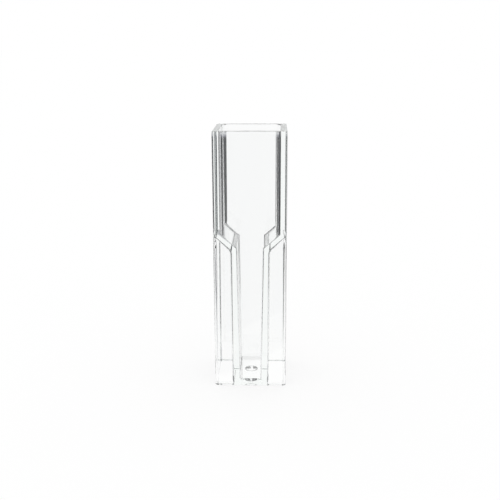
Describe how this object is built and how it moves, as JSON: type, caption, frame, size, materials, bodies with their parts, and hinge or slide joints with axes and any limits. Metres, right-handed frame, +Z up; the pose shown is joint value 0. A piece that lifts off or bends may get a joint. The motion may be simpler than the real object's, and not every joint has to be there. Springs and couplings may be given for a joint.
{
  "type": "cuvette",
  "caption": "Square clear semi-micro cuvette: open cup above, sloped shoulders to a narrow 10 mm path chamber, hollow pockets beside it open at the foot.",
  "frame": {"origin": "centre of the foot, on the surface the cuvette stands on", "axes": "+Z up towards the mouth, Y along the light path through the two windows, X across the narrow chamber"},
  "size_m": [0.0126, 0.0126, 0.045],
  "materials": {
    "clear_polystyrene": "clear, polished as moulded"
  },
  "bodies": {
    "root": {"cuvette": "clear_polystyrene"}
  },
  "joints": []
}
